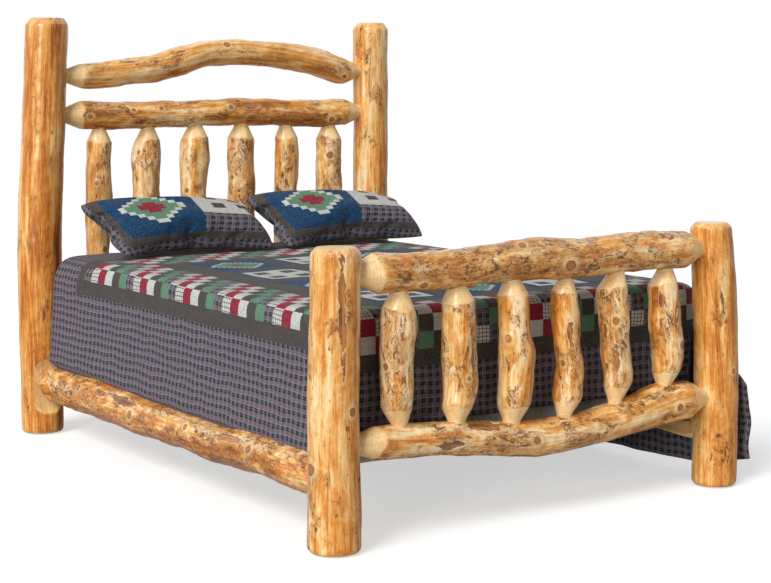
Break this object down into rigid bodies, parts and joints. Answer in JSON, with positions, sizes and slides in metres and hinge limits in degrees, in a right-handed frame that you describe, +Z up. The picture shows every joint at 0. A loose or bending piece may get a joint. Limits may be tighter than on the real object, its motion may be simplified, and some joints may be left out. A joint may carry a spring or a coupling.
{
  "type": "rustic log bed",
  "caption": "Queen-size bed of peeled logs with round mortise-and-tenon joints, an arched headboard rail, spindles, side rails on hook plates, mattress, box spring, quilt and pillows.",
  "frame": {"origin": "on the floor, midway between the four posts", "axes": "+X from left to right seen from the foot, +Y from the foot to the head, +Z up"},
  "size_m": [1.83, 2.3739, 1.68],
  "materials": {
    "log_wood": "peeled aspen under a clear gloss finish",
    "sawn_wood": "planed, unfinished",
    "steel": "zinc plated",
    "glide_plastic": "matt",
    "quilt_fabric": "quilted cotton",
    "pillow_fabric": "quilted cotton",
    "mattress_ticking": "quilted ticking",
    "box_spring_cover": "plain woven cover"
  },
  "bodies": {
    "root": {"box_spring": "box_spring_cover", "cleat_left": "sawn_wood", "cleat_right": "sawn_wood", "cleat_screws": "steel", "footboard_lower_rail": "log_wood", "footboard_post_left": "log_wood", "footboard_post_right": "log_wood", "footboard_spindle_1": "log_wood", "footboard_spindle_2": "log_wood", "footboard_spindle_3": "log_wood", "footboard_spindle_4": "log_wood", "footboard_spindle_5": "log_wood", "footboard_spindle_6": "log_wood", "footboard_top_rail": "log_wood", "headboard_arch_rail": "log_wood", "headboard_lower_rail": "log_wood", "headboard_post_left": "log_wood", "headboard_post_right": "log_wood", "headboard_spindle_1": "log_wood", "headboard_spindle_2": "log_wood", "headboard_spindle_3": "log_wood", "headboard_spindle_4": "log_wood", "headboard_spindle_5": "log_wood", "headboard_spindle_6": "log_wood", "headboard_upper_rail": "log_wood", "hook_plate_foot_left": "steel", "hook_plate_foot_right": "steel", "hook_plate_head_left": "steel", "hook_plate_head_right": "steel", "hook_plate_screws": "steel", "mattress": "mattress_ticking", "pillow_left": "pillow_fabric", "pillow_right": "pillow_fabric", "post_glides": "glide_plastic", "quilt": "quilt_fabric", "side_rail_left": "log_wood", "side_rail_right": "log_wood", "slat_1": "sawn_wood", "slat_2": "sawn_wood", "slat_3": "sawn_wood", "slat_4": "sawn_wood", "slat_5": "sawn_wood", "slot_plate_foot_left": "steel", "slot_plate_foot_right": "steel", "slot_plate_head_left": "steel", "slot_plate_head_right": "steel", "slot_plate_screws": "steel"}
  },
  "joints": []
}
